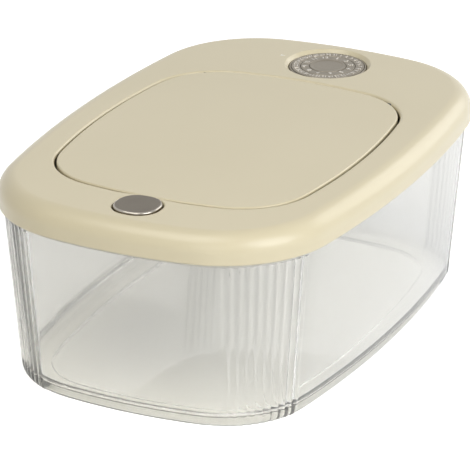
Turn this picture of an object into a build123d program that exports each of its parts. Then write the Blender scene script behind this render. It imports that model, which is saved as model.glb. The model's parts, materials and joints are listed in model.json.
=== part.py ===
from build123d import *
import math
import os

# Lid outline, and the lands between its edge and the flip door
lid_half_width = 120.0
lid_half_depth = 180.0
side_land = 28.0
front_land = 48.7
back_land = 82.7
mouth_side_margin = 11.0
mouth_front_margin = 10.0
mouth_back_margin = 20.8
# Side arc as a share of half depth, then end arc and corner arc as shares of half width
lid_arc_shares = (4.5556, 2.75, 0.6333)
door_arc_shares = (3.981, 3.0435, 0.5272)
mouth_arc_shares = (4.2467, 3.0864, 0.4938)

# Bin
rim_level = 121.0
bin_wall = 2.4
base_inset = 13.9
rim_inset = 3.5
base_round = 6.0
foot_depth = 3.2
foot_width = 12.0
floor_thickness = 3.0
floor_round = 7.0
reed_count = 10
reed_spread = 48.5
reed_lean = 3.0
reed_height = 0.8
reed_top_drop = 3.9
reed_fade = 2.6

# Lid shell
lid_drop = 5.5
lid_height = 19.5
lid_wall = 2.4
shoulder_round = 12.5
skirt_round = 1.0
opening_round = 0.7
post_radius = 3.2
post_hole_radius = 1.5
post_hole_depth = 6.0
post_land_share = 0.714
side_post_shares = (-0.45, -0.1, 0.25)
end_post_share = 0.42

# Lid liner and its seal
liner_depth = 9.0
liner_plate = 2.0
flange_inset = 3.0
flange_thickness = 2.0
plug_inset = 8.8
plug_wall = 2.0
bead_inset = 7.6
bead_height = 2.4
seal_inset = 6.8
seal_height = 3.4
seal_round = 1.0
mouth_wall = 2.0
mouth_lip_drop = 2.5
spigot_height = 5.0

# Flip door
door_gap = 1.5
door_plate = 2.4
door_skirt_wall = 2.0
door_skirt_depth = 7.5
door_round = 1.0
door_liner_thickness = 2.0
door_post_radius = 2.6
door_post_shares = ((0.55, 0.48), (0.62, 0.0), (0.55, -0.48))
door_seal_width = 5.2
door_seal_lift = 0.2
door_seal_round = 0.8
door_seal_rib = 1.8
door_seal_groove_depth = 0.9

# Hinge
hinge_setback = 12.0
hinge_drop = 1.8
pin_radius = 1.0
pin_reach = 11.0
hinge_boss_radius = 2.4
hinge_relief_radius = 2.6
running_fit = 0.05
peg_radius = 1.5
peg_post_length = 2.8
peg_post_width = 3.4
door_spring_radius = 2.4
door_spring_wire = 0.5
door_spring_pitch = 1.55
door_spring_quarters = 21
door_spring_inset = 12.0
door_spring_setback = 1.3
door_spring_leg = 22.0

# Button and latch
button_land_share = 0.2957
button_corner_share = 0.7986
button_gap = 0.8
button_rise = 1.0
button_plate = 2.2
button_wall = 1.6
button_depth = 8.0
button_round = 1.2
button_travel = 3.0
button_land = 0.3
well_wall = 1.6
well_floor = 2.0
well_depth = 13.0
well_open = 2.3
well_notch_share = 0.5556
plunger_plate = 2.0
plunger_fit = 0.3
stem_half_width = 4.0
stem_front_share = 0.4861
stem_rear_share = 0.4514
stem_foot_gap = 0.5
wedge_share = 0.1875
wedge_gap = 0.3
stop_tab = 1.3
stop_tab_height = 1.5
stop_tab_length = 5.0
button_spring_share = 0.625
button_spring_radius = 2.4
button_spring_wire = 0.4
button_spring_turns = 5
latch_base = 2.0
latch_lift = 0.2
latch_half_width = 6.5
latch_head_half_width = 5.4
ramp_drop = 1.0
hook_wall = 3.0
hook_setback = 2.2
hook_drop = 3.5
tooth_tip_inset = 0.3
tooth_reach = 2.4
tooth_height = 2.5
tooth_gap = 0.3
catch_wall = 2.2
catch_half_width = 5.0
rail_gap = 0.5
rail_width = 2.0
rail_lip = 1.2
rail_lip_gap = 0.4
rail_lip_height = 1.6
rail_inset = 1.2
rail_setback = 5.7
latch_spring_radius = 2.2
latch_spring_wire = 0.4
latch_spring_pitch = 1.3

# Date dial
dial_place_share = 0.4595
dial_well_radius = 26.8
dial_lip = 2.7
dial_well_depth = 5.5
dial_well_wall = 2.0
dial_base_gap = 0.5
dial_rim_width = 1.3
dial_base_thickness = 1.5
dial_rim_height = 3.7
dial_ring_gap = 0.3
dial_ring_lift = 1.8
dial_ring_height = 2.1
dial_ring_lip = 0.7
dial_ring_overlap = 1.4
day_ring_share = 0.711
month_ring_share = 0.479
dial_cap_rise = 4.5
spindle_radius = 4.0
spindle_fit = 0.2
dial_washer_radius = 7.0
dial_washer_thickness = 1.2
dial_screw_radius = 1.1
dial_screw_head_radius = 2.6
dial_screw_head_height = 1.8
dial_screw_length = 6.0
dial_edge = 0.4

# Shared
overrun = 20.0
seat_gap = 0.25


def outline_of(half_width, half_depth, shares):
    side_share, end_share, corner_share = shares
    arcs = (side_share * half_depth, end_share * half_width, corner_share * half_width)
    return (half_width, half_depth, *arcs)


# Plan: the door lies between its lands, and the mouth lies within the door
door_half_width = lid_half_width - side_land
door_front = -lid_half_depth + front_land
door_back = lid_half_depth - back_land
door_half_depth = (door_back - door_front) / 2
door_centre_y = (door_back + door_front) / 2
mouth_half_width = door_half_width - mouth_side_margin
mouth_front = door_front + mouth_front_margin
mouth_back = door_back - mouth_back_margin
mouth_half_depth = (mouth_back - mouth_front) / 2
mouth_centre_y = (mouth_back + mouth_front) / 2
lid_outline = outline_of(lid_half_width, lid_half_depth, lid_arc_shares)
door_outline = outline_of(door_half_width, door_half_depth, door_arc_shares)
mouth_outline = outline_of(mouth_half_width, mouth_half_depth, mouth_arc_shares)
dial_y = door_back + dial_place_share * back_land
dial_base_radius = dial_well_radius - dial_base_gap
day_ring_inner = day_ring_share * dial_base_radius
month_ring_inner = month_ring_share * dial_base_radius
post_inset = post_land_share * side_land

# Levels
lid_bottom = rim_level - lid_drop
lid_top = lid_bottom + lid_height
plate_under = lid_top - lid_wall
reed_top_level = lid_bottom - reed_top_drop
liner_bottom = rim_level - liner_depth
liner_top = liner_bottom + liner_plate
floor_level = foot_depth + floor_thickness
door_skirt_bottom = lid_top - door_skirt_depth
door_liner_top = door_skirt_bottom + door_liner_thickness
mouth_lip_level = door_skirt_bottom - mouth_lip_drop
hinge_level = lid_top - hinge_drop
well_floor_level = lid_top - well_depth
ramp_top_level = well_floor_level - ramp_drop
hook_top_level = door_skirt_bottom - hook_drop
latch_spring_level = (liner_top + ramp_top_level) / 2

# Door, hinge, button and latch in plan
door_edge_inset = door_gap / 2
door_inner_inset = door_edge_inset + door_skirt_wall
hinge_y = door_back - hinge_setback
door_spring_start_x = door_half_width - door_spring_inset
door_spring_y = hinge_y - door_spring_setback
button_half = button_land_share * front_land
button_corner = button_corner_share * button_half
button_y = door_front - button_land - button_gap - button_half
button_spring_x = button_spring_share * button_half
well_rear_y = door_front - well_open
well_notch = well_notch_share * button_half
stem_front_y = button_y - stem_front_share * button_half
stem_rear_y = button_y + stem_rear_share * button_half
wedge_start_y = button_y - wedge_share * button_half
latch_window_rear_y = stem_rear_y + button_travel + rail_gap
latch_front_y = button_y - button_half
hook_rear_y = door_front - hook_setback
rail_front_y = latch_front_y + rail_inset
rail_rear_y = door_front - rail_setback


def on_circle(centre, radius, angle):
    turn = math.radians(angle)
    return (centre[0] + radius * math.cos(turn), centre[1] + radius * math.sin(turn))


def arc_edge(centre, radius, first, last):
    middle = (first + last) / 2
    ends = [on_circle(centre, radius, angle) for angle in (first, middle, last)]
    return ThreePointArc(*ends)


# The corner arc touches the side arc and the end arc, so its centre lies a fixed reach from both centres
def corner_of(outline):
    half_width, half_depth, side_arc, end_arc, corner_arc = outline
    side_x = half_width - side_arc
    end_y = half_depth - end_arc
    span = math.hypot(side_x, end_y)
    side_reach = side_arc - corner_arc
    end_reach = end_arc - corner_arc
    along = (side_reach ** 2 - end_reach ** 2 + span ** 2) / (2 * span)
    across = math.sqrt(side_reach ** 2 - along ** 2)
    step_x = -side_x / span
    step_y = end_y / span
    corner_x = side_x + along * step_x - across * step_y
    corner_y = along * step_y + across * step_x
    low = math.degrees(math.atan2(corner_y, corner_x - side_x))
    high = math.degrees(math.atan2(corner_y - end_y, corner_x))
    return corner_x, corner_y, low, high


# Convex reeds share the corner between two plain stretches, and lean a little towards the long sides
def reeded_corner(centre, radius, first, last, crest):
    middle = (first + last) / 2 - math.copysign(reed_lean, centre[0] * centre[1])
    pitch = reed_spread / reed_count
    valleys = [middle + (i - reed_count / 2) * pitch for i in range(reed_count + 1)]
    edges = [arc_edge(centre, radius, first, valleys[0])]
    for low, high in zip(valleys, valleys[1:]):
        start = on_circle(centre, radius, low)
        top = on_circle(centre, radius + crest, (low + high) / 2)
        edges.append(ThreePointArc(start, top, on_circle(centre, radius, high)))
    edges.append(arc_edge(centre, radius, valleys[-1], last))
    return edges


def oval(outline, inset, level, centre_y=0, crest=None):
    half_width, half_depth, side_arc, end_arc, corner_arc = outline
    corner_x, corner_y, low, high = corner_of(outline)
    side_x = half_width - side_arc
    end_y = half_depth - end_arc
    corners = (
        ((corner_x, corner_y), low, high),
        ((-corner_x, corner_y), 180 - high, 180 - low),
        ((-corner_x, -corner_y), 180 + low, 180 + high),
        ((corner_x, -corner_y), 360 - high, 360 - low),
    )
    flanks = (
        ((0, end_y), end_arc, high, 180 - high),
        ((-side_x, 0), side_arc, 180 - low, 180 + low),
        ((0, -end_y), end_arc, 180 + high, 360 - high),
        ((side_x, 0), side_arc, 360 - low, 360 + low),
    )
    edges = []
    for (centre, first, last), (flank_centre, flank_arc, start, end) in zip(corners, flanks):
        if crest is None:
            edges.append(arc_edge(centre, corner_arc - inset, first, last))
        else:
            edges += reeded_corner(centre, corner_arc - inset, first, last, crest)
        edges.append(arc_edge(flank_centre, flank_arc - inset, start, end))
    return Pos(0, centre_y, level) * Face(Wire(edges))


def oval_block(outline, inset, bottom, top, centre_y=0):
    return extrude(oval(outline, inset, bottom, centre_y), top - bottom, dir=(0, 0, 1))


def oval_ring(outline, outer, inner, bottom, top, centre_y=0):
    return oval_block(outline, outer, bottom, top, centre_y) - oval_block(
        outline, inner, bottom - overrun, top + overrun, centre_y)


def squircle_block(half, corner, bottom, top):
    plan = Pos(0, button_y, bottom) * RectangleRounded(2 * half, 2 * half, corner)
    return extrude(plan, top - bottom)


def block(x0, x1, y0, y1, z0, z1):
    return Pos((x0 + x1) / 2, (y0 + y1) / 2, (z0 + z1) / 2) * Box(x1 - x0, y1 - y0, z1 - z0)


def disc(radius, bottom, top, x=0, y=0):
    return Pos(x, y, (bottom + top) / 2) * Cylinder(radius, top - bottom)


def annulus(outer, inner, bottom, top):
    return disc(outer, bottom, top, 0, dial_y) - disc(inner, bottom - overrun, top + overrun, 0, dial_y)


def rod(radius, x0, x1, y, z):
    return Pos((x0 + x1) / 2, y, z) * Rot(0, 90, 0) * Cylinder(radius, x1 - x0)


def flat_edges(shape, level):
    flats = [face for face in shape.faces() if face.geom_type == GeomType.PLANE]
    return [edge for face in flats if abs(face.center().Z - level) < running_fit for edge in face.edges()]


# Right edge of the door outline, taken at a depth y, for a given inset
def door_edge_x(inset, y):
    corner_x, corner_y, low, high = corner_of(door_outline)
    rise = y - door_centre_y - corner_y
    return corner_x + math.sqrt((door_outline[-1] - inset) ** 2 - rise ** 2)


# Two arcs join a pair of points so that the path keeps the given directions
def biarc(start, start_way, end, end_way):
    v = end - start
    t = start_way + end_way
    turn = 2 * (1 - start_way.dot(end_way))
    if turn < 1e-9:
        return [Line(start, end)]
    reach = (math.sqrt(v.dot(t) ** 2 + turn * v.dot(v)) - v.dot(t)) / turn
    first = start + start_way * reach
    second = end - end_way * reach
    joint = (first + second) * 0.5
    way = (second - first).normalized()
    return [TangentArc(start, joint, tangent=start_way), TangentArc(joint, end, tangent=way)]


# Points and directions every quarter turn of a helix about Z
def coil_stations(radius, pitch, quarters):
    stations = []
    for quarter in range(quarters + 1):
        angle = quarter * math.pi / 2
        point = Vector(radius * math.cos(angle), radius * math.sin(angle), pitch * quarter / 4)
        way = Vector(-radius * math.sin(angle), radius * math.cos(angle), pitch / (2 * math.pi))
        stations.append((point, way.normalized()))
    return stations


def coil(radius, wire, pitch, quarters, first_leg=0, last_leg=0):
    stations = coil_stations(radius, pitch, quarters)
    edges = []
    start, start_way = stations[0]
    end, end_way = stations[-1]
    if first_leg > 0:
        edges.append(Line(start - start_way * first_leg, start))
    for (p, p_way), (q, q_way) in zip(stations, stations[1:]):
        edges += biarc(p, p_way, q, q_way)
    if last_leg > 0:
        edges.append(Line(end, end + end_way * last_leg))
    mouth = Plane(origin=start - start_way * first_leg, z_dir=start_way)
    path = Wire(edges)
    print("coil, least gap to itself", round(self_gap(path, math.pi * radius) - 2 * wire, 3))
    return sweep(mouth * Circle(wire), path=path)


# Least distance between points of a path that lie further apart along it than the given reach
def self_gap(path, reach):
    count = 240
    spots = [path.position_at(i / count) for i in range(count + 1)]
    skip = math.ceil(reach / path.length * count)
    return min((p - q).length for i, p in enumerate(spots) for q in spots[i + skip:])


def mirrored(shape):
    return shape + mirror(shape, about=Plane.YZ)


# Bin body: one loft from the rounded foot through the reeded wall to the plain rim
def wall_inset(level):
    return base_inset + (rim_inset - base_inset) * level / rim_level


def make_bin():
    steps = 3
    sections = []
    for i in range(steps + 1):
        turn = math.pi / 2 * i / steps
        level = base_round * (1 - math.cos(turn))
        inset = wall_inset(level) + base_round * (1 - math.sin(turn))
        sections.append(oval(lid_outline, inset, level, crest=reed_height))
    sections.append(oval(lid_outline, wall_inset(reed_top_level), reed_top_level, crest=reed_height))
    fade_level = reed_top_level + reed_fade
    sections.append(oval(lid_outline, wall_inset(fade_level), fade_level, crest=0))
    sections.append(oval(lid_outline, rim_inset, rim_level, crest=0))
    body = loft(sections, ruled=True)
    above = rim_level + bin_wall
    space = loft([
        oval(lid_outline, wall_inset(floor_level) + bin_wall, floor_level),
        oval(lid_outline, wall_inset(above) + bin_wall, above),
    ], ruled=True)
    space = fillet(flat_edges(space, floor_level), floor_round)
    foot = oval_block(lid_outline, base_inset + base_round + foot_width, -overrun, foot_depth)
    return body - space - foot


def post_places():
    half_width, half_depth, side_arc, end_arc, corner_arc = lid_outline
    inner_side = side_arc - post_inset
    inner_end = end_arc - post_inset
    places = []
    for share in side_post_shares:
        y = share * half_depth
        x = half_width - side_arc + math.sqrt(inner_side ** 2 - y ** 2)
        places += [(x, y), (-x, y)]
    x = end_post_share * half_width
    y = half_depth - end_arc + math.sqrt(inner_end ** 2 - x ** 2)
    return places + [(x, y), (-x, y), (x, -y), (-x, -y)]


# Hinge bosses stop where the other part's edge would meet their round
boss_clear = hinge_boss_radius + seat_gap
door_boss_end = door_edge_x(-door_edge_inset, hinge_y + boss_clear) - seat_gap
lid_boss_start = door_edge_x(door_edge_inset, hinge_y - boss_clear) + seat_gap
pin_middle = door_edge_x(0, hinge_y)
pin_start = pin_middle - pin_reach
pin_end = pin_middle + pin_reach


def pin_hole(fit):
    return mirrored(rod(pin_radius + fit, pin_start, pin_end, hinge_y, hinge_level))


def make_lid_shell():
    shell = oval_block(lid_outline, 0, lid_bottom, lid_top)
    shell = fillet(flat_edges(shell, lid_top), shoulder_round)
    shell = fillet(flat_edges(shell, lid_bottom), skirt_round)
    hollow = oval_block(lid_outline, lid_wall, lid_bottom - overrun, plate_under)
    shell -= fillet(flat_edges(hollow, plate_under), shoulder_round - lid_wall)
    opening = oval_block(door_outline, -door_edge_inset, liner_bottom, lid_top + overrun, door_centre_y)
    shell -= opening
    edges = [e for e in flat_edges(shell, lid_top) if abs(e.center().X) < door_half_width + door_gap
             and abs(e.center().Y - door_centre_y) < door_half_depth + door_gap]
    shell = fillet(edges, opening_round)
    # Button well: a guide with a floor, open to the door at its rear
    well_half = button_half + button_gap
    well_corner = button_corner + button_gap
    in_plate = plate_under + lid_wall / 2
    guide = squircle_block(well_half + well_wall, well_corner + well_wall, well_floor_level, in_plate)
    guide -= block(-lid_half_width, lid_half_width, well_rear_y, 0, 0, lid_top)
    shell += guide
    floor_top = well_floor_level + well_floor
    shell -= squircle_block(well_half, well_corner, floor_top, lid_top + overrun)
    shell -= block(-well_notch, well_notch, button_y, door_front, floor_top, lid_top + overrun)
    slot = stem_half_width + plunger_fit
    hook_slot = latch_head_half_width + rail_gap
    shell -= block(-slot, slot, stem_front_y - plunger_fit, door_front, liner_top, floor_top)
    hook_front = hook_rear_y - hook_wall - button_travel - rail_gap
    shell -= block(-hook_slot, hook_slot, hook_front, door_front, liner_top, floor_top)
    # Dial well: a round cup with a sloping lip
    cup_floor = lid_top - dial_well_depth
    shell += disc(dial_well_radius + dial_well_wall, cup_floor - dial_well_wall, in_plate, 0, dial_y)
    shell -= disc(dial_well_radius, cup_floor, lid_top + overrun, 0, dial_y)
    cone = Cone(dial_well_radius, dial_well_radius + dial_lip, dial_lip)
    shell -= Pos(0, dial_y, lid_top - dial_lip / 2) * cone
    shell -= disc(spindle_radius + spindle_fit, liner_top, lid_top, 0, dial_y)
    # Hinge bosses and the posts that carry the liner
    bosses = mirrored(rod(hinge_boss_radius, lid_boss_start, pin_end, hinge_y, hinge_level))
    shell += bosses & block(-lid_half_width, lid_half_width, 0, lid_half_depth, 0, lid_top - opening_round)
    shell -= pin_hole(0)
    # A round relief about the pin lets the door's corner pass the edge of the opening
    relief_end = door_edge_x(door_edge_inset, hinge_y - hinge_drop) + seat_gap
    shell -= mirrored(rod(hinge_relief_radius, door_boss_end, relief_end, hinge_y, hinge_level))
    for x, y in post_places():
        shell += disc(post_radius, liner_top, in_plate, x, y)
        shell -= disc(post_hole_radius, liner_top, liner_top + post_hole_depth, x, y)
    return shell


def make_lid_liner():
    flange_top = rim_level + flange_thickness
    liner = oval_ring(lid_outline, flange_inset, plug_inset + plug_wall, rim_level, flange_top)
    liner += oval_ring(lid_outline, plug_inset, plug_inset + plug_wall, liner_bottom, flange_top)
    liner += oval_block(lid_outline, plug_inset, liner_bottom, liner_top)
    bead_top = liner_bottom + bead_height
    liner += oval_ring(lid_outline, bead_inset, plug_inset + plug_wall / 2, liner_bottom, bead_top)
    liner += oval_block(mouth_outline, -mouth_wall, liner_bottom, mouth_lip_level, mouth_centre_y)
    liner -= oval_block(mouth_outline, 0, liner_bottom - overrun, mouth_lip_level + overrun, mouth_centre_y)
    # Rails that hold the latch slide down
    rail_in = latch_half_width + rail_gap
    lip_in = latch_half_width + rail_gap - rail_lip
    lip_low = liner_top + latch_lift + latch_base + rail_lip_gap
    rail_out = rail_in + rail_width
    rail_top = lip_low + rail_lip_height
    rail = block(rail_in, rail_out, rail_front_y, rail_rear_y, liner_bottom, rail_top)
    rail += block(lip_in, rail_out, rail_front_y, rail_rear_y, lip_low, rail_top)
    liner += mirrored(rail)
    # Pegs for the door springs, and the spigots that stand in the shell's posts
    coil_length = door_spring_pitch * door_spring_quarters / 4
    peg_end = door_spring_start_x + coil_length + 2 * door_spring_wire + seat_gap
    peg_level = door_spring_level()
    peg = rod(peg_radius, door_spring_start_x - 2 * door_spring_wire, peg_end, door_spring_y, peg_level)
    half = peg_post_width / 2
    peg += block(peg_end, peg_end + peg_post_length, door_spring_y - half, door_spring_y + half,
                 liner_bottom, peg_level + half)
    liner += mirrored(peg)
    for x, y in post_places():
        liner += disc(post_hole_radius - seat_gap, liner_bottom, liner_top + spigot_height, x, y)
    return liner


def door_spring_level():
    return door_skirt_bottom - seat_gap - door_spring_wire - door_spring_radius


def make_lid_seal():
    bottom = liner_bottom + bead_height
    seal = oval_ring(lid_outline, seal_inset, plug_inset, bottom, bottom + seal_height)
    flats = flat_edges(seal, bottom) + flat_edges(seal, bottom + seal_height)
    outer = [edge for edge in flats if outside(edge.position_at(0.5), (seal_inset + plug_inset) / 2)]
    return fillet(outer, seal_round)


# True where a point lies outside the lid's outline taken at an inset
def outside(point, inset):
    return not oval(lid_outline, inset, point.Z).is_inside(point)


def make_door_panel():
    panel = oval_block(door_outline, door_edge_inset, door_skirt_bottom, lid_top, door_centre_y)
    panel = fillet(flat_edges(panel, lid_top), door_round)
    panel -= oval_block(door_outline, door_inner_inset, door_skirt_bottom - overrun, lid_top - door_plate,
                        door_centre_y)
    boss = mirrored(rod(hinge_boss_radius, pin_start - seat_gap, door_boss_end, hinge_y, hinge_level))
    panel += boss & block(-lid_half_width, lid_half_width, 0, lid_half_depth, 0, lid_top - opening_round)
    for share_x, share_y in door_post_shares:
        x = share_x * door_half_width
        y = door_centre_y + share_y * door_half_depth
        panel += mirrored(disc(door_post_radius, door_liner_top, lid_top - door_plate / 2, x, y))
    return panel - pin_hole(running_fit)


catch_rear = door_front + door_edge_inset + tooth_tip_inset + tooth_reach + catch_wall
tooth_top = hook_top_level - hook_wall


def make_door_liner():
    inset = door_inner_inset + seat_gap
    plate = oval_block(door_outline, inset, door_skirt_bottom, door_liner_top, door_centre_y)
    middle = mouth_wall / 2
    rib = door_seal_rib / 2
    groove_top = door_skirt_bottom + door_seal_groove_depth
    plate -= oval_ring(mouth_outline, -middle - rib, -middle + rib, door_skirt_bottom - overrun, groove_top,
                       mouth_centre_y)
    tip = door_front + door_edge_inset + tooth_tip_inset
    catch = block(-catch_half_width, catch_half_width, catch_rear - catch_wall, catch_rear,
                  tooth_top - tooth_gap - tooth_height, door_skirt_bottom + door_liner_thickness / 2)
    catch += block(-catch_half_width, catch_half_width, tip, catch_rear,
                   tooth_top - tooth_gap - tooth_height, tooth_top - tooth_gap)
    return plate + catch


def make_door_seal():
    middle = mouth_wall / 2
    half = door_seal_width / 2
    bottom = mouth_lip_level + door_seal_lift
    seal = oval_ring(mouth_outline, -middle - half, -middle + half, bottom, door_skirt_bottom, mouth_centre_y)
    seal = fillet(flat_edges(seal, bottom), door_seal_round)
    rib = door_seal_rib / 2 - running_fit
    return seal + oval_ring(mouth_outline, -middle - rib, -middle + rib, door_skirt_bottom - door_seal_round,
                            door_skirt_bottom + door_seal_groove_depth - running_fit, mouth_centre_y)


def make_hinge_pins():
    return mirrored(rod(pin_radius, pin_start, pin_end, hinge_y, hinge_level))


# The spring's front leg lies under the door and its back leg stands on the liner
def make_door_spring():
    foot = door_spring_level() - liner_top - seat_gap
    spring = coil(door_spring_radius, door_spring_wire, door_spring_pitch, door_spring_quarters,
                  door_spring_leg, foot)
    seat = (-door_spring_start_x, door_spring_y, door_spring_level())
    return Plane(origin=seat, x_dir=(0, 0, 1), z_dir=(-1, 0, 0)).location * spring


def make_button_cap():
    top = lid_top + button_rise
    bottom = top - button_depth
    cap = squircle_block(button_half, button_corner, bottom, top)
    cap = fillet(flat_edges(cap, top), button_round)
    return cap - squircle_block(button_half - button_wall, button_corner - button_wall, bottom - overrun,
                                top - button_plate)


def plunger_top():
    return lid_top + button_rise - button_plate


def side_plane(x):
    return Plane(origin=(x, 0, 0), x_dir=(0, 1, 0), z_dir=(1, 0, 0))


def make_button_plunger():
    top = plunger_top()
    foot = liner_top + button_travel + stem_foot_gap
    half = button_half - button_wall - plunger_fit
    plunger = squircle_block(half, button_corner - button_wall - plunger_fit, top - plunger_plate, top)
    in_plate = top - plunger_plate / 2
    stem = block(-stem_half_width, stem_half_width, stem_front_y, stem_rear_y, foot, in_plate)
    # The wedge is a slope of one to one at the stem's front foot
    rise = wedge_start_y - stem_front_y
    wedge = Polyline((stem_front_y, foot), (wedge_start_y, foot), (stem_front_y, foot + rise), close=True)
    stem -= extrude(side_plane(-overrun) * Face(Wire(wedge.edges())), 2 * overrun)
    tab_top = well_floor_level - seat_gap
    tab_half = stem_half_width + stop_tab
    tab_front = stem_rear_y - stop_tab_length
    tab = block(-tab_half, tab_half, tab_front, stem_rear_y, tab_top - stop_tab_height, tab_top)
    return plunger + stem + tab


def make_button_springs():
    bottom = well_floor_level + well_floor
    length = plunger_top() - plunger_plate - bottom
    pitch = (length - 2 * button_spring_wire - 2 * running_fit) / button_spring_turns
    spring = coil(button_spring_radius, button_spring_wire, pitch, 4 * button_spring_turns)
    return mirrored(Pos(button_spring_x, button_y, bottom + button_spring_wire + running_fit) * spring)


def make_latch_slide():
    low = liner_top + latch_lift
    high = low + latch_base
    foot = liner_top + button_travel + stem_foot_gap
    slope = wedge_start_y + foot - wedge_gap * math.sqrt(2)
    ramp_foot = slope - high
    ramp_head = slope - ramp_top_level
    slide = block(-latch_half_width, latch_half_width, latch_front_y, hook_rear_y, low, high)
    window = stem_half_width + plunger_fit
    slide -= block(-window, window, ramp_foot, latch_window_rear_y, low - overrun, high + overrun)
    side = Polyline((ramp_foot, high), (ramp_head, ramp_top_level), (latch_front_y, ramp_top_level),
                    (latch_front_y, low), (ramp_foot, low), close=True)
    head = latch_head_half_width
    slide += extrude(side_plane(-head) * Face(Wire(side.edges())), 2 * head)
    slide += block(-head, head, hook_rear_y - hook_wall, hook_rear_y, low, hook_top_level)
    nose_end = catch_rear - catch_wall - seat_gap
    slide += block(-head, head, hook_rear_y - hook_wall, nose_end, tooth_top, hook_top_level)
    return slide


def make_latch_spring():
    front = -lid_half_depth + plug_inset + plug_wall
    length = latch_front_y - front
    run = length - 2 * latch_spring_wire - 2 * seat_gap
    turns = int(run / latch_spring_pitch)
    spring = coil(latch_spring_radius, latch_spring_wire, run / turns, 4 * turns)
    start = front + latch_spring_wire + seat_gap
    return Pos(0, start, latch_spring_level) * Rot(-90, 0, 0) * spring


# Date dial levels
cup_level = lid_top - dial_well_depth
ring_bottom = cup_level + dial_ring_lift
ring_top = ring_bottom + dial_ring_height
lip_top = ring_bottom + dial_ring_lip
step_level = lip_top + dial_ring_gap
washer_top = cup_level - dial_well_wall
washer_bottom = washer_top - dial_washer_thickness


def make_dial_base():
    base = disc(dial_base_radius, cup_level, cup_level + dial_base_thickness, 0, dial_y)
    rim_top = cup_level + dial_rim_height
    base += annulus(dial_base_radius, dial_base_radius - dial_rim_width, cup_level, rim_top)
    base = chamfer(flat_edges(base, rim_top), dial_edge)
    base += disc(spindle_radius, washer_top + running_fit, cup_level + dial_base_thickness, 0, dial_y)
    return base - disc(dial_screw_radius, 0, lid_top, 0, dial_y)


# A ring with a lip under its inner neighbour and a ledge over its outer neighbour's lip
def dial_ring(outer, inner, over):
    ring = annulus(outer, inner, step_level, ring_top)
    ring = chamfer(flat_edges(ring, ring_top), dial_edge)
    ring += annulus(over, inner - dial_ring_overlap, ring_bottom, lip_top)
    return ring + annulus(over, inner, lip_top, step_level)


def make_day_ring():
    outer = dial_base_radius - dial_rim_width - dial_ring_gap
    return dial_ring(outer, day_ring_inner, outer)


def make_month_ring():
    outer = day_ring_inner - dial_ring_gap
    return dial_ring(outer, month_ring_inner, day_ring_inner - dial_ring_overlap - dial_ring_gap)


def make_dial_cap():
    outer = month_ring_inner - dial_ring_gap
    top = cup_level + dial_cap_rise
    cap = disc(outer, step_level, top, 0, dial_y)
    cap = chamfer(flat_edges(cap, top), dial_edge)
    hub = outer - dial_ring_overlap - dial_ring_gap
    cap += disc(hub, cup_level + dial_base_thickness, step_level + dial_ring_gap, 0, dial_y)
    return cap - disc(dial_screw_radius, 0, washer_bottom + dial_screw_length + seat_gap, 0, dial_y)


def make_dial_washer():
    washer = disc(dial_washer_radius, washer_bottom, washer_top, 0, dial_y)
    return washer - disc(dial_screw_radius + spindle_fit, 0, lid_top, 0, dial_y)


def make_dial_screw():
    head_bottom = washer_bottom - dial_screw_head_height
    shank = dial_screw_radius - running_fit
    head = disc(dial_screw_head_radius, head_bottom, washer_bottom, 0, dial_y)
    head = fillet(flat_edges(head, head_bottom), dial_edge)
    return head + disc(shank, washer_bottom, washer_bottom + dial_screw_length, 0, dial_y)


spring_left = make_door_spring()
pieces = {
    "bin_body": make_bin(),
    "lid_shell": make_lid_shell(),
    "lid_liner": make_lid_liner(),
    "lid_seal": make_lid_seal(),
    "door_panel": make_door_panel(),
    "door_liner": make_door_liner(),
    "door_seal": make_door_seal(),
    "hinge_pins": make_hinge_pins(),
    "door_spring_left": spring_left,
    "door_spring_right": mirror(spring_left, about=Plane.YZ),
    "button_cap": make_button_cap(),
    "button_plunger": make_button_plunger(),
    "button_springs": make_button_springs(),
    "latch_slide": make_latch_slide(),
    "latch_spring": make_latch_spring(),
    "dial_base": make_dial_base(),
    "day_ring": make_day_ring(),
    "month_ring": make_month_ring(),
    "dial_cap": make_dial_cap(),
    "dial_washer": make_dial_washer(),
    "dial_screw": make_dial_screw(),
}

os.makedirs("parts", exist_ok=True)
for node, shape in pieces.items():
    export_step(shape, "parts/" + node + ".step")
    print(node, len(shape.solids()), round(shape.volume, 1))
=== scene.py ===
import json
import math

import bmesh
import bpy
import numpy as np
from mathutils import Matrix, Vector
from mathutils.geometry import delaunay_2d_cdt


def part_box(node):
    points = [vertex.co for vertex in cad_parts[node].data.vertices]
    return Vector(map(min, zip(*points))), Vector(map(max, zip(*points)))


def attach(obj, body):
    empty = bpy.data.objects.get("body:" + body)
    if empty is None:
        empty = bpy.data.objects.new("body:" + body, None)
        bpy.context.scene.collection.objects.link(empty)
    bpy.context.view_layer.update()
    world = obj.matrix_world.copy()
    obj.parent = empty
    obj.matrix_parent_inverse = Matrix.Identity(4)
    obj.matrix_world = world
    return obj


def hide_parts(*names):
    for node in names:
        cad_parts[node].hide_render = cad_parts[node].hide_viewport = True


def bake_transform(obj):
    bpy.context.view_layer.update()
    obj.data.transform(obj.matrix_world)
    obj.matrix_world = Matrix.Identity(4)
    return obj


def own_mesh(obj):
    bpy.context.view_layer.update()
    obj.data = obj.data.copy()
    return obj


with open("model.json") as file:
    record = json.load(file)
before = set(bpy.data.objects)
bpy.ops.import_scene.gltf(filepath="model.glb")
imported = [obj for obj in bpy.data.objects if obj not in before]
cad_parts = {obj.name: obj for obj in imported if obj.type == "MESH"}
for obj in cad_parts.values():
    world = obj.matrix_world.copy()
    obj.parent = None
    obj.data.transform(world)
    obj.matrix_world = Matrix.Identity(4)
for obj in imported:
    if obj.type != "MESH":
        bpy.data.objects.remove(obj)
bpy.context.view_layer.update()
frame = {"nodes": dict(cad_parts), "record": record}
nodes = frame["nodes"]
mm = 0.001
print("frame loaded:", len(nodes), "nodes")


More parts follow.
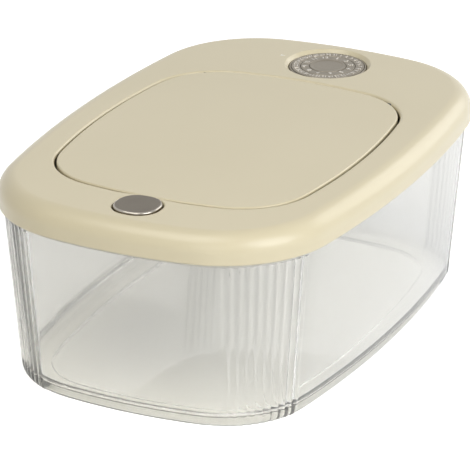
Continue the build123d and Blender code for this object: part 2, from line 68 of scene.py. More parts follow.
# plan outline: a side arc, an end arc and a corner arc that touches both, mirrored to all four quarters;
# the side arc is a share of the half depth, and the other two are shares of the half width
def outlineOf(halfWidth, halfDepth, arcShares, centreY=0.0):
    sideShare, endShare, cornerShare = arcShares
    sideArc, endArc, cornerArc = sideShare * halfDepth, endShare * halfWidth, cornerShare * halfWidth
    sideX, endY = halfWidth - sideArc, halfDepth - endArc
    span = math.hypot(sideX, endY)
    sideReach, endReach = sideArc - cornerArc, endArc - cornerArc
    along = (sideReach ** 2 - endReach ** 2 + span ** 2) / (2 * span)
    across = math.sqrt(sideReach ** 2 - along ** 2)
    cornerX = sideX - along * sideX / span - across * endY / span
    cornerY = along * endY / span - across * sideX / span
    return {"sideX": sideX, "endY": endY, "sideArc": sideArc, "endArc": endArc, "cornerArc": cornerArc,
            "cornerX": cornerX, "cornerY": cornerY, "centreY": centreY,
            "low": math.atan2(cornerY, cornerX - sideX), "high": math.atan2(cornerY - endY, cornerX)}


# a rail is one arc centre, arc radius and outward way for each sample, so that an inset is exact
def railOf(centre, radius, angle):
    way = np.stack([np.cos(angle), np.sin(angle)], 1)
    return {"centre": centre, "radius": radius, "way": way, "angle": angle}


def ovalRail(outline, cornerStops, sideCuts, endCuts):
    low, high, pi = outline["low"], outline["high"], math.pi
    corner = low + (high - low) * np.asarray(cornerStops)
    ends = np.linspace(high, pi - high, endCuts, endpoint=False)
    sides = np.linspace(pi - low, pi + low, sideCuts, endpoint=False)
    mirror = np.concatenate([[pi - high], (pi - corner)[::-1][:-1]])
    cornerX, cornerY, cornerArc = outline["cornerX"], outline["cornerY"], outline["cornerArc"]
    runs = [(corner, (cornerX, cornerY), cornerArc),
            (ends, (0.0, outline["endY"]), outline["endArc"]),
            (mirror, (-cornerX, cornerY), cornerArc),
            (sides, (-outline["sideX"], 0.0), outline["sideArc"])]
    runs += [(angle + pi, (-x, -y), radius) for angle, (x, y), radius in runs]
    angle = np.concatenate([run[0] for run in runs])
    centre = np.concatenate([np.tile(run[1], (len(run[0]), 1)) for run in runs])
    radius = np.concatenate([np.full(len(run[0]), run[2]) for run in runs])
    return railOf(centre + (0.0, outline["centreY"]), radius, angle)


# rounded square: four corner arcs, joined by straight runs
def squareRail(half, corner, x, y, cuts):
    quarter = np.linspace(0, math.pi / 2, cuts)
    angle = np.concatenate([quarter + k * math.pi / 2 for k in range(4)])
    signs = np.repeat([(1, 1), (-1, 1), (-1, -1), (1, -1)], cuts, axis=0)
    return railOf(signs * (half - corner) + (x, y), np.full(len(angle), corner), angle)


# circle about one point: its arcs have no radius, so a profile's reach goes in as a negative inset
def roundRail(x, y, cuts):
    angle = np.linspace(0, 2 * math.pi, cuts, endpoint=False)
    return railOf(np.tile((x, y), (cuts, 1)), np.zeros(cuts), angle)


# profile carried along a rail: point = centre + (radius - inset) * way, at the profile's level
def carry(rail, inset, level):
    inset = np.broadcast_to(inset, (len(rail["radius"]), np.shape(level)[-1]))
    reach = rail["radius"][:, None] - inset
    plan = rail["centre"][:, None, :] + reach[:, :, None] * rail["way"][:, None, :]
    height = np.broadcast_to(level, reach.shape)
    return np.concatenate([plan, height[:, :, None]], 2)


# the same in plan alone, for one inset
def planLoop(rail, inset):
    return rail["centre"] + (rail["radius"] - inset)[:, None] * rail["way"]


# quads between the rows of a grid of points; where it is closed, the last row meets the first
def gridPart(grid, closed=True):
    rows, cols = grid.shape[:2]
    i = np.arange(rows if closed else rows - 1)[:, None]
    j = np.arange(cols - 1)[None, :]
    a, b = i * cols + j, (i + 1) % rows * cols + j
    return grid.reshape(-1, 3), np.stack([a, b, b + 1, a + 1], -1).reshape(-1, 4)


# even-odd test of points against one closed loop
def inLoop(points, loop):
    x, y = points[:, 0, None], points[:, 1, None]
    x0, y0 = loop[:, 0][None], loop[:, 1][None]
    x1, y1 = np.roll(x0, -1, 1), np.roll(y0, -1, 1)
    crosses = (y0 > y) != (y1 > y)
    rise = np.where(y1 == y0, 1.0, y1 - y0)  # a level edge is never crossed
    return (crosses & (x < x0 + (y - y0) / rise * (x1 - x0))).sum(1) % 2 == 1


# distances in metres within which points of a flat face or of a piece are one, and a face is a sliver
weld = {"flat": 1e-9, "points": 0.5e-6, "slivers": 0.2e-6}


# flat face between an outer loop and the loops of its holes
def flatPart(level, outer, *holes):
    loops = [np.asarray(loop)[:, :2] for loop in (outer, *holes)]
    starts = np.cumsum([0] + [len(loop) for loop in loops])
    edges = [(s + k, s + (k + 1) % n) for s, n in zip(starts, map(len, loops)) for k in range(n)]
    corners = [Vector(p) for p in np.concatenate(loops)]
    wholeHull = 0  # the faces fill the hull of all points, and those outside the loops go afterwards
    points, _, faces, *_ = delaunay_2d_cdt(corners, edges, [], wholeHull, weld["flat"])
    points = np.array([tuple(p) for p in points])
    faces = np.array(faces)
    middle = points[faces].mean(1)
    keep = inLoop(middle, loops[0])
    for loop in loops[1:]:
        keep &= ~inLoop(middle, loop)
    return np.column_stack([points, np.full(len(points), level)]), faces[keep]


# profile carried along a rail, with a flat face inside the loops of its first and its last point
def carriedParts(rail, inset, level, *finishNumber):
    grid = carry(rail, inset, level)
    return [(*gridPart(grid), *finishNumber), flatPart(level[0], grid[:, 0]), flatPart(level[-1], grid[:, -1])]


# a loop between two levels, closed above and below
def prismParts(loop, low, high):
    loop = np.asarray(loop)
    sides = np.stack([np.column_stack([loop, np.full(len(loop), level)]) for level in (low, high)], 1)
    return [gridPart(sides), flatPart(low, loop), flatPart(high, loop)]


def quarterTurn(cuts):
    return np.linspace(0, math.pi / 2, cuts + 1)


# quarter round from a flat top to an upright side: the inset falls by the radius, and so does the level
def topRound(radius, top, inset, cuts):
    turn = quarterTurn(cuts)
    return inset + radius * (1 - np.sin(turn)), top - radius * (1 - np.cos(turn))


# stretches of inset and level, joined end to end
def profile(*stretches):
    return tuple(np.concatenate([np.atleast_1d(run) for run in runs]) for runs in zip(*stretches))


# shading: edges sharper than the angle stay hard, and large faces lead the normals by the weight
shading = {"sharp": 32.0, "weight": 90}


# one object from parts, each its points, its faces and, if it isn't the first, the number of its finish
def meshPiece(name, parts, finish, body, replaces=(), sharp=shading["sharp"]):
    points, faces, numbers, start = [], [], [], 0
    for partPoints, partFaces, *number in parts:
        points.append(partPoints)
        faces += (partFaces + start).tolist()
        numbers += (number or [0]) * len(partFaces)
        start += len(partPoints)
    mesh = bpy.data.meshes.new(name)
    mesh.from_pydata(np.concatenate(points).tolist(), [], faces)
    for material in finish if isinstance(finish, tuple) else (finish,):
        mesh.materials.append(material)
    mesh.polygons.foreach_set("material_index", numbers)
    work = bmesh.new()
    work.from_mesh(mesh)
    bmesh.ops.remove_doubles(work, verts=work.verts, dist=weld["points"])
    bmesh.ops.dissolve_degenerate(work, edges=work.edges, dist=weld["slivers"])
    bmesh.ops.recalc_face_normals(work, faces=work.faces)
    work.to_mesh(mesh)
    openEdges = sum(not edge.is_manifold for edge in work.edges)
    work.free()
    mesh.shade_smooth()
    mesh.set_sharp_from_angle(angle=math.radians(sharp))
    piece = bpy.data.objects.new(name, mesh)
    bpy.context.scene.collection.objects.link(piece)
    weighted = piece.modifiers.new("flatFacesLead", "WEIGHTED_NORMAL")
    weighted.keep_sharp = True
    weighted.weight = shading["weight"]
    if body:
        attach(piece, body)
    if replaces:
        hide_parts(*replaces)
    print("piece", name, len(mesh.polygons), "faces, open edges", openEdges)
    return piece


# finishes
def link(tree, source, target):
    tree.links.new(source, target)


def newGroup(name, inputs, outputs):
    group = bpy.data.node_groups.new(name, "ShaderNodeTree")
    for way, sockets in (("INPUT", inputs), ("OUTPUT", outputs)):
        for label, kind in sockets.items():
            group.interface.new_socket(label, in_out=way, socket_type=kind)
    return group, group.nodes.new("NodeGroupInput").outputs, group.nodes.new("NodeGroupOutput").inputs


def noiseNode(tree, place, scale, detail):
    noise = tree.nodes.new("ShaderNodeTexNoise")
    noise.inputs["Detail"].default_value = detail
    link(tree, place, noise.inputs["Vector"])
    link(tree, scale, noise.inputs["Scale"])
    return noise.outputs["Fac"]


# the span is where most of a noise's values lie, unless another is given
def mapRange(tree, value, low, high, span=(0.3, 0.7)):
    node = tree.nodes.new("ShaderNodeMapRange")
    link(tree, value, node.inputs["Value"])
    node.inputs["From Min"].default_value, node.inputs["From Max"].default_value = span
    for label, bound in (("To Min", low), ("To Max", high)):
        if hasattr(bound, "is_output"):
            link(tree, bound, node.inputs[label])
        else:
            node.inputs[label].default_value = bound
    return node.outputs["Result"]


def mathNode(tree, operation, first, second):
    node = tree.nodes.new("ShaderNodeMath")
    node.operation = operation
    link(tree, first, node.inputs[0])
    link(tree, second, node.inputs[1])
    return node.outputs[0]


def mixShaders(tree, share, first, second):
    mix = tree.nodes.new("ShaderNodeMixShader")
    for source, socket in zip((share, first, second), mix.inputs):
        link(tree, source, socket)
    return mix.outputs[0]


# moulded surface: slow drift of tone, fine grain in the gloss and a faint ripple of the skin
def makeMouldedSkin():
    color, number = "NodeSocketColor", "NodeSocketFloat"
    group, given, wanted = newGroup(
        "mouldedSkin",
        {"Tone A": color, "Tone B": color, "Gloss Low": number, "Gloss High": number,
         "Grain Scale": number, "Drift Scale": number},
        {"Color": color, "Roughness": number, "Height": number})
    place = group.nodes.new("ShaderNodeTexCoord").outputs["Object"]
    drift = noiseNode(group, place, given["Drift Scale"], detail=2.0)
    grain = noiseNode(group, place, given["Grain Scale"], detail=4.0)
    mix = group.nodes.new("ShaderNodeMix")
    mix.data_type = "RGBA"
    link(group, mapRange(group, drift, 0.0, 1.0), mix.inputs["Factor"])
    link(group, given["Tone A"], mix.inputs["A"])
    link(group, given["Tone B"], mix.inputs["B"])
    link(group, mix.outputs["Result"], wanted["Color"])
    link(group, mapRange(group, grain, given["Gloss Low"], given["Gloss High"]), wanted["Roughness"])
    link(group, grain, wanted["Height"])
    return group


mouldedSkin = makeMouldedSkin()


def newMaterial(name):
    material = bpy.data.materials.new(name)
    material.use_nodes = True
    tree = material.node_tree
    return material, tree, tree.nodes["Principled BSDF"]


# bump is the ripple's strength and its depth in metres, and sockets are those of the shader itself
def skinnedMaterial(name, skin, bump, sockets):
    material, tree, shader = newMaterial(name)
    surface = tree.nodes.new("ShaderNodeGroup")
    surface.node_tree = mouldedSkin
    for label, value in skin.items():
        surface.inputs[label].default_value = value
    link(tree, surface.outputs["Color"], shader.inputs["Base Color"])
    link(tree, surface.outputs["Roughness"], shader.inputs["Roughness"])
    ripple = tree.nodes.new("ShaderNodeBump")
    ripple.inputs["Strength"].default_value, ripple.inputs["Distance"].default_value = bump
    link(tree, surface.outputs["Height"], ripple.inputs["Height"])
    link(tree, ripple.outputs["Normal"], shader.inputs["Normal"])
    for label, value in sockets.items():
        shader.inputs[label].default_value = value
    return material


creamPlastic = skinnedMaterial("creamPlastic", {
    "Tone A": (0.612, 0.540, 0.366, 1), "Tone B": (0.630, 0.557, 0.381, 1),
    "Gloss Low": 0.30, "Gloss High": 0.36, "Grain Scale": 1400.0, "Drift Scale": 9.0,
}, (0.06, 0.0002), {"IOR": 1.48, "Coat Weight": 0.2, "Coat Roughness": 0.2})
whitePlastic = skinnedMaterial("whitePlastic", {
    "Tone A": (0.74, 0.71, 0.64, 1), "Tone B": (0.78, 0.75, 0.68, 1),
    "Gloss Low": 0.42, "Gloss High": 0.55, "Grain Scale": 1600.0, "Drift Scale": 12.0,
}, (0.15, 0.0002), {"IOR": 1.5})
greyPlastic = skinnedMaterial("greyPlastic", {
    "Tone A": (0.17, 0.17, 0.17, 1), "Tone B": (0.21, 0.21, 0.205, 1),
    "Gloss Low": 0.45, "Gloss High": 0.6, "Grain Scale": 1800.0, "Drift Scale": 30.0,
}, (0.2, 0.0002), {"IOR": 1.5})
silicone = skinnedMaterial("silicone", {
    "Tone A": (0.76, 0.76, 0.73, 1), "Tone B": (0.80, 0.80, 0.78, 1),
    "Gloss Low": 0.35, "Gloss High": 0.5, "Grain Scale": 1200.0, "Drift Scale": 20.0,
}, (0.1, 0.0002), {"IOR": 1.42, "Subsurface Weight": 0.3, "Subsurface Scale": 0.003})
platedMetal = skinnedMaterial("platedMetal", {
    "Tone A": (0.230, 0.203, 0.160, 1), "Tone B": (0.265, 0.236, 0.190, 1),
    "Gloss Low": 0.30, "Gloss High": 0.42, "Grain Scale": 2600.0, "Drift Scale": 60.0,
}, (0.25, 0.0001), {"Metallic": 1.0})
buttonMetal = skinnedMaterial("buttonMetal", {
    "Tone A": (0.142, 0.121, 0.092, 1), "Tone B": (0.160, 0.138, 0.106, 1),
    "Gloss Low": 0.30, "Gloss High": 0.40, "Grain Scale": 2600.0, "Drift Scale": 60.0,
}, (0.2, 0.0001), {"Metallic": 1.0})
# plate of the button's rounded edge: glossier than the face, and lighter partly as painted highlight, standing
# in for the glint the edge catches
edgeHighlightPlate = skinnedMaterial("edgeHighlightPlate", {
    "Tone A": (0.33, 0.30, 0.26, 1), "Tone B": (0.40, 0.37, 0.33, 1),
    "Gloss Low": 0.14, "Gloss High": 0.22, "Grain Scale": 2600.0, "Drift Scale": 90.0,
}, (0.15, 0.0001), {"Metallic": 1.0})
brightPlate = skinnedMaterial("brightPlate", {
    "Tone A": (0.70, 0.67, 0.62, 1), "Tone B": (0.80, 0.77, 0.72, 1),
    "Gloss Low": 0.16, "Gloss High": 0.26, "Grain Scale": 2600.0, "Drift Scale": 90.0,
}, (0.2, 0.0001), {"Metallic": 1.0})
drawnSteel = skinnedMaterial("drawnSteel", {
    "Tone A": (0.50, 0.50, 0.50, 1), "Tone B": (0.60, 0.60, 0.595, 1),
    "Gloss Low": 0.22, "Gloss High": 0.34, "Grain Scale": 3000.0, "Drift Scale": 80.0,
}, (0.2, 0.0001), {"Metallic": 1.0})
# steel in the dark tone of the shade in the door's gap: painted shade, used for the hinge pins
gapShadeSteel = skinnedMaterial("gapShadeSteel", {
    "Tone A": (0.085, 0.083, 0.078, 1), "Tone B": (0.11, 0.108, 0.10, 1),
    "Gloss Low": 0.35, "Gloss High": 0.5, "Grain Scale": 3000.0, "Drift Scale": 80.0,
}, (0.2, 0.0001), {"Metallic": 1.0})


# clear plastic: refracts what is behind it, greys on long ways through the wall, and lets lamp light in
clear = {"shade": (0.93, 0.925, 0.905, 1), "depthTint": (0.76, 0.75, 0.71, 1), "depthDensity": 42.0}


def makeClearPlastic():
    material = skinnedMaterial("clearPlastic", {
        "Tone A": (0.975, 0.972, 0.955, 1), "Tone B": (0.985, 0.982, 0.968, 1),
        "Gloss Low": 0.02, "Gloss High": 0.05, "Grain Scale": 500.0, "Drift Scale": 10.0,
    }, (0.02, 0.0002), {"IOR": 1.49, "Transmission Weight": 0.94})
    tree = material.node_tree
    depth = tree.nodes.new("ShaderNodeVolumeAbsorption")
    depth.inputs["Color"].default_value = clear["depthTint"]
    depth.inputs["Density"].default_value = clear["depthDensity"]
    passing = tree.nodes.new("ShaderNodeBsdfTransparent")
    passing.inputs["Color"].default_value = clear["shade"]
    shadow = tree.nodes.new("ShaderNodeLightPath").outputs["Is Shadow Ray"]
    surface = mixShaders(tree, shadow, tree.nodes["Principled BSDF"].outputs[0], passing.outputs[0])
    link(tree, surface, tree.nodes["Material Output"].inputs["Surface"])
    link(tree, depth.outputs[0], tree.nodes["Material Output"].inputs["Volume"])
    return material


clearPlastic = makeClearPlastic()
slotFinish = {"clear_plastic": clearPlastic, "cream_plastic": creamPlastic, "white_plastic": whitePlastic,
              "grey_plastic": greyPlastic, "silicone": silicone, "plated_metal": platedMetal,
              "steel": drawnSteel}
nodeFinish = {"hinge_pins": gapShadeSteel}  # painted shade: the pins take the dark tone of the shade in the gap, so that the gap round the door reads as one line
for sub in frame["record"]["subparts"]:
    mesh = nodes[sub["node"]].data
    mesh.materials.clear()
    mesh.materials.append(nodeFinish.get(sub["node"], slotFinish[sub["material_slot"]]))
print("finishes:", len(bpy.data.materials))

# what the pieces share: boxes from the frame, and the arcs of side, end and corner in the two outlines
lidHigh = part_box("lid_shell")[1]
lidTop = lidHigh.z
lidArcShares = (4.5556, 2.75, 0.6333)
lidOutline = outlineOf(lidHigh.x, lidHigh.y, lidArcShares)
doorLow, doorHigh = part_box("door_panel")
doorGap = 1.5 * mm
doorArcShares = (3.981, 3.0435, 0.5272)
doorHalfWidth, doorHalfDepth = doorHigh.x + doorGap / 2, (doorHigh.y - doorLow.y + doorGap) / 2
doorOutline = outlineOf(doorHalfWidth, doorHalfDepth, doorArcShares, (doorHigh.y + doorLow.y) / 2)
capLow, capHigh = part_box("button_cap")
capSpread = 0.4 * mm  # the button is wider than its solid by this on each side
buttonHalf = capHigh.x + capSpread
buttonY = (capLow.y + capHigh.y) / 2
dialLow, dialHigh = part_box("dial_base")
dialY = (dialLow.y + dialHigh.y) / 2
dialRadius = dialHigh.x
cornerCuts = 56
evenCorner = np.linspace(0, 1, cornerCuts, endpoint=False)

# tub: a tapered wall with reeds on its corners, a foot with a hollow under it, and a flat floor
tub = {"baseInset": 13.9 * mm, "rimInset": 3.5 * mm, "wall": 2.4 * mm, "baseRound": 6.0 * mm,
       "footDepth": 3.2 * mm, "footWidth": 12.0 * mm, "footSoft": 0.6 * mm, "footSoftShare": 0.3,
       "floor": 6.2 * mm, "floorRound": 7.0 * mm, "rimRound": 0.7 * mm,
       "reeds": 10, "spread": math.radians(48.5), "lean": math.radians(3), "crest": 0.8 * mm,
       "reedTop": 110.9 * mm, "fade": 1.8 * mm,
       "cutsPerReed": 14, "leadCuts": 8, "tailCuts": 12, "sideCuts": 48, "endCuts": 40,
       "roundCuts": 12, "wallCuts": 11, "fadeCuts": 8, "rimCuts": 5, "sharp": 30.0}


# samples round the tub and the height of the reeds there: crest * 4f(1-f), f being the share of a reed's pitch
def reededRail():
    low, high = lidOutline["low"], lidOutline["high"]
    middle = (low + high) / 2 - tub["lean"]
    first, last = ((middle + side * tub["spread"] / 2 - low) / (high - low) for side in (-1, 1))
    stops = np.concatenate([np.linspace(0, first, tub["leadCuts"], endpoint=False),
                            np.linspace(first, last, tub["reeds"] * tub["cutsPerReed"], endpoint=False),
                            np.linspace(last, 1, tub["tailCuts"], endpoint=False)])
    rail = ovalRail(lidOutline, stops, tub["sideCuts"], tub["endCuts"])
    fold = np.abs((rail["angle"] + math.pi / 2) % math.pi - math.pi / 2)
    share = (fold - middle) / tub["spread"] * tub["reeds"] + tub["reeds"] / 2
    onCorner = np.isclose(rail["radius"], lidOutline["cornerArc"])
    part = np.where((share > 0) & (share < tub["reeds"]) & onCorner, share % 1.0, 0.0)
    return rail, tub["crest"] * 4 * part * (1 - part)


def makeTub():
    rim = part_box("bin_body")[1].z
    rail, reed = reededRail()

    def wallInset(level):
        return tub["baseInset"] + (tub["rimInset"] - tub["baseInset"]) * np.asarray(level) / rim

    turn, rimTurn = quarterTurn(tub["roundCuts"]), quarterTurn(tub["rimCuts"])
    footInset = tub["baseInset"] + tub["baseRound"] + tub["footWidth"]
    soft = tub["footSoft"]
    softer = soft * tub["footSoftShare"]
    foot = [footInset, footInset, footInset - softer, footInset - soft], [tub["footDepth"], soft, softer, 0]
    baseLevel = tub["baseRound"] * (1 - np.cos(turn))
    baseInset = wallInset(baseLevel) + tub["baseRound"] * (1 - np.sin(turn))
    wallLevel = np.concatenate([np.linspace(tub["baseRound"], tub["reedTop"], tub["wallCuts"] + 1)[1:],
                                tub["reedTop"] + tub["fade"] * np.sin(quarterTurn(tub["fadeCuts"]))[1:]])
    rimIn = tub["rimRound"] * (1 - np.cos(rimTurn))
    rimUp = rim - tub["rimRound"] * (1 - np.sin(rimTurn))
    floorLevel = tub["floor"] + tub["floorRound"] * (1 - np.sin(turn))
    floorInset = wallInset(floorLevel) + tub["wall"] + tub["floorRound"] * (1 - np.cos(turn))
    inset, level = profile(
        foot, (baseInset, baseLevel), (wallInset(wallLevel), wallLevel), (wallInset(rimUp) + rimIn, rimUp),
        ((wallInset(rimUp) + tub["wall"] - rimIn)[::-1], rimUp[::-1]), (floorInset, floorLevel))
    step = np.arange(len(level)) - len(foot[0])
    outside = (step >= 0) & (step < len(baseLevel) + len(wallLevel))
    climb = np.clip((level - tub["reedTop"]) / tub["fade"], 0, 1)
    fade = np.where(outside, np.sqrt(1 - climb * climb), 0)  # domed reed tops
    parts = carriedParts(rail, inset[None, :] - reed[:, None] * fade[None, :], level)
    meshPiece("clearTub", parts, clearPlastic, "bin", ["bin_body"], tub["sharp"])


makeTub()

# lid: a shoulder carried round the outline, a flat top with the door's opening, and the dial's cup
lid = {"height": 19.5 * mm, "wall": 2.4 * mm, "shoulder": 12.5 * mm, "skirtRound": 1.0 * mm,
       "openingRound": 2.0 * mm, "wellGap": 0.8 * mm, "wellRound": 1.4 * mm, "wellCorner": 14.0 * mm,
       "notch": 8.0 * mm, "tipRound": 0.25 * mm, "tipReach": 0.4 * mm, "tipGrowth": 0.12, "tipClear": 0.5 * mm,
       "wellWall": 1.6 * mm, "wellFloor": 122.0 * mm, "floor": 2.0 * mm, "wellRear": -133.6 * mm,
       "stemSlot": 4.3 * mm, "stemFront": -154.1 * mm, "hookSlot": 5.9 * mm, "hookFront": -140.0 * mm,
       "setBack": 0.03 * mm, "letIn": 0.3 * mm,
       "dialWell": 26.8 * mm, "dialLip": 2.7 * mm, "lipRound": 1.0 * mm, "dialDepth": 5.5 * mm,
       "cupWall": 2.0 * mm, "spindle": 4.2 * mm,
       "sideCuts": 60, "endCuts": 48, "shoulderCuts": 20, "innerCuts": 14, "hemCuts": 5,
       "openingCuts": 60, "wellCuts": 24, "edgeCuts": 6, "lipCuts": 5, "dialCuts": 128}


# numbers of the points that a closed loop keeps when the run where cut is true goes, from that run's end on
def outsideCut(cut):
    first = np.flatnonzero(cut & ~np.roll(cut, -1))[0] + 1
    return np.roll(np.arange(len(cut)), -first)[:(~cut).sum()]


# opening of the door, joined with the button's well at the front by a notch, and its edge round,
# which is least at the tips of the notch
def openingLoop():
    loop = planLoop(ovalRail(doorOutline, evenCorner, lid["openingCuts"], lid["openingCuts"]), -doorGap / 2)
    wellHalf = buttonHalf + lid["wellGap"]
    ring = planLoop(squareRail(wellHalf, lid["wellCorner"], 0.0, buttonY, lid["wellCuts"]), 0.0)
    side = lid["notch"]
    straight = wellHalf - lid["wellCorner"]
    rearY = buttonY + straight + math.sqrt(lid["wellCorner"] ** 2 - (side - straight) ** 2)
    walk = ring[outsideCut((np.abs(ring[:, 0]) < side + lid["tipClear"]) & (ring[:, 1] > buttonY))]
    kept = outsideCut((np.abs(loop[:, 0]) < side) & (loop[:, 1] < doorOutline["centreY"]))
    frontY = loop[kept[0], 1]
    bridge = [(-side, frontY), (-side, rearY), *walk, (side, rearY), (side, frontY)]
    loop = np.concatenate([loop[kept], bridge])
    radius = np.repeat([lid["openingRound"], lid["wellRound"]], [len(kept), len(bridge)])
    tip = np.abs(np.abs(loop[:, 0]) - side) + np.abs(loop[:, 1] - (rearY + frontY) / 2)
    tipRadius = lid["tipRound"] + lid["tipGrowth"] * np.maximum(0, tip - lid["tipReach"])
    return loop, np.minimum(radius, tipRadius), walk


# outward way at each point of a loop, longer at a bend, as a mitre is
def loopWays(loop, leastCosine=0.5):
    ahead = np.roll(loop, -1, 0) - loop
    ahead /= np.linalg.norm(ahead, axis=1)[:, None]
    normal = np.stack([ahead[:, 1], -ahead[:, 0]], 1)
    both = normal + np.roll(normal, 1, 0)
    both /= np.linalg.norm(both, axis=1)[:, None]
    return both / np.maximum(leastCosine, (both * normal).sum(1))[:, None]


# edge of the opening: a quarter round that steps back from the loop, and a wall below it
def openingEdge(loop, radius, under):
    turn = quarterTurn(lid["edgeCuts"])
    back = radius[:, None] * (1 - np.sin(turn))
    level = lidTop - radius[:, None] * (1 - np.cos(turn))
    plan = loop[:, None] + back[:, :, None] * loopWays(loop)[:, None]
    wallFoot = np.column_stack([loop, np.full(len(loop), under)])
    return np.concatenate([np.concatenate([plan, level[:, :, None]], 2), wallFoot[:, None]], 1)


# guide of the button: a wall round the well, open at the rear, and a floor slotted for stem and hook;
# wall and floor are closed shapes of their own, let into the plate and into each other
def wellParts(walk, under):
    walk = walk[walk[:, 1] < lid["wellRear"]]
    ways = walk - (0.0, buttonY)
    ways /= np.linalg.norm(ways, axis=1)[:, None]
    reaches = lid["setBack"], lid["wellWall"] / 2, lid["wellWall"]
    inner, middle, outer = (walk + reach * ways for reach in reaches)
    step, slot, back = lid["hookSlot"], lid["stemSlot"], middle[0, 1]
    cut = [(step, back), (step, lid["hookFront"]), (slot, lid["hookFront"]), (slot, lid["stemFront"])]
    cut += [(-x, y) for x, y in cut[::-1]]
    floor, letIn = lid["wellFloor"], lid["letIn"]
    return [*prismParts(np.concatenate([inner, outer[::-1]]), floor + letIn, under + letIn),
            *prismParts(np.concatenate([middle, cut]), floor, floor + lid["floor"])]


# shoulder, skirt and hem of the lid, and their inner side
def shoulderBand(under):
    skirt = lidTop - lid["height"]
    hem = quarterTurn(lid["hemCuts"])
    innerInset, innerLevel = topRound(lid["shoulder"] - lid["wall"], under, lid["wall"], lid["innerCuts"])
    inset, level = profile(
        topRound(lid["shoulder"], lidTop, 0.0, lid["shoulderCuts"]),
        (lid["skirtRound"] * (1 - np.cos(hem)), skirt + lid["skirtRound"] * (1 - np.sin(hem))),
        (lid["wall"], skirt), (innerInset[::-1], innerLevel[::-1]))
    return carry(ovalRail(lidOutline, evenCorner, lid["sideCuts"], lid["endCuts"]), inset, level)


# cup of the dial: its lip rolls over to a slope of one to one, above a floor bored for the spindle
def dialCup(under):
    well, wall, spindle = lid["dialWell"], lid["cupWall"], lid["spindle"]
    lip = np.linspace(0, math.pi / 4, lid["lipCuts"] + 1)
    lipIn, lipDown = lid["lipRound"] * np.sin(lip), lid["lipRound"] * (1 - np.cos(lip))
    slopeFoot = lidTop - lipDown[-1] - lid["dialLip"] + lipIn[-1]
    floor = lidTop - lid["dialDepth"]
    reach, level = profile(
        (well + lid["dialLip"] - lipIn, lidTop - lipDown),
        ([well, well, spindle, spindle, well + wall, well + wall],
         [slopeFoot, floor, floor, floor - wall, floor - wall, under]))
    return carry(roundRail(0.0, dialY, lid["dialCuts"]), -reach, level)


def makeLid():
    under = lidTop - lid["wall"]
    loop, radius, walk = openingLoop()
    band, edge, cup = shoulderBand(under), openingEdge(loop, radius, under), dialCup(under)
    parts = [gridPart(band), gridPart(edge), gridPart(cup),
             flatPart(lidTop, band[:, 0], edge[:, 0], cup[:, 0]),
             flatPart(under, band[:, -1], edge[:, -1], cup[:, -1]), *wellParts(walk, under)]
    meshPiece("creamLid", parts, creamPlastic, "lid", ["lid_shell"])


makeLid()

# flip door: rounded edge and skirt carried round the door's outline
door = {"round": 1.2 * mm, "skirtWall": 2.0 * mm, "plate": 2.4 * mm, "hem": 0.3 * mm,
        "sideCuts": 60, "endCuts": 60, "roundCuts": 8}


def makeDoor():
    rail = ovalRail(doorOutline, evenCorner, door["sideCuts"], door["endCuts"])
    edge = doorGap / 2
    inside = edge + door["skirtWall"]
    inset, level = profile(
        topRound(door["round"], lidTop, edge, door["roundCuts"]),
        ([edge, edge + door["hem"], inside, inside],
         [doorLow.z + door["hem"], doorLow.z, doorLow.z, lidTop - door["plate"]]))
    parts = carriedParts(rail, inset, level)
    meshPiece("flipDoor", parts, creamPlastic, "door", ["door_panel"])


makeDoor()

# push button: a shallow cap whose rounded edge has a lighter, glossier plate, its light tone partly painted
# highlight
button = {"corner": 13.2 * mm, "round": 1.1 * mm, "wall": 1.6 * mm, "plate": 2.2 * mm,
          "cornerCuts": 28, "roundCuts": 8}


def makeButton():
    rail = squareRail(buttonHalf, button["corner"], 0.0, buttonY, button["cornerCuts"])
    wall = button["wall"]
    inset, level = profile(
        topRound(button["round"], capHigh.z, 0.0, button["roundCuts"]),
        ([0, wall, wall], [capLow.z, capLow.z, capHigh.z - button["plate"]]))
    finish = (buttonMetal, edgeHighlightPlate)
    parts = carriedParts(rail, inset, level, finish.index(edgeHighlightPlate))
    meshPiece("pushButton", parts, finish, "button", ["button_cap"])


makeButton()

# raised figures: how many each ring has, their height, and their width as a share of the font's;
# heightShare is a figure's height in the size of the font
numerals = {"day_ring": {"name": "dayNumerals", "count": 31, "height": 2.9 * mm, "widthShare": 0.88},
            "month_ring": {"name": "monthNumerals", "count": 12, "height": 3.5 * mm, "widthShare": 1.0},
            "heightShare": 0.7, "rise": 0.28 * mm, "sink": 0.06 * mm, "swell": 0.02 * mm,
            "curveCuts": 3, "sharp": 25.0}


# one figure as a mesh, centred on the origin
def figurePart(number, height):
    curve = bpy.data.curves.new("figure", "FONT")
    curve.body = str(number)
    curve.size = height / numerals["heightShare"]
    curve.align_x = "CENTER"
    curve.align_y = "CENTER"
    curve.extrude = (numerals["rise"] + numerals["sink"]) / 2
    curve.offset = numerals["swell"]
    curve.resolution_u = numerals["curveCuts"]
    holder = bpy.data.objects.new("figure", curve)
    mesh = bpy.data.meshes.new_from_object(holder)
    mesh.calc_loop_triangles()
    faces = np.empty(len(mesh.loop_triangles) * 3, dtype=int)
    mesh.loop_triangles.foreach_get("vertices", faces)
    points = np.empty(len(mesh.vertices) * 3)
    mesh.vertices.foreach_get("co", points)
    bpy.data.objects.remove(holder)
    bpy.data.curves.remove(curve)
    bpy.data.meshes.remove(mesh)
    points = points.reshape(-1, 3)
    points[:, :2] -= (points[:, :2].max(0) + points[:, :2].min(0)) / 2
    return points, faces.reshape(-1, 3)


